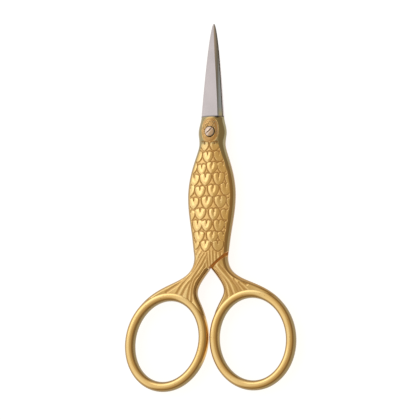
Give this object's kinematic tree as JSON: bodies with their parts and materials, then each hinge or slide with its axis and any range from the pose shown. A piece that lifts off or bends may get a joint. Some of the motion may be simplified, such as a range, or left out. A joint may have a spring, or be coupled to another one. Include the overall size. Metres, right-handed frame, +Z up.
{
  "type": "embroidery scissors",
  "caption": "Small gold-plated embroidery scissors with a feather-scale body, fluted shanks, oval finger bows and fine steel points.",
  "frame": {"origin": "on the pivot axis, in the plane that the scissors lie on", "axes": "+Y to the tips, +X to the bow of the rear half, +Z up to the screw's head"},
  "size_m": [0.0447, 0.0904, 0.0047],
  "materials": {
    "steel": "ground",
    "gold_plate": "polished, gold plated",
    "screw_steel": "polished"
  },
  "bodies": {
    "rear_half": {"rear_blade": "steel", "rear_handle": "gold_plate", "pivot_screw": "screw_steel"},
    "front_half": {"front_blade": "steel", "front_handle": "gold_plate"}
  },
  "joints": [
    {"name": "pivot", "type": "hinge", "parent": "rear_half", "child": "front_half", "pos_m": [0, 0, 0.00205], "axis": [0, 0, -1], "range_deg": [0, 120]}
  ]
}
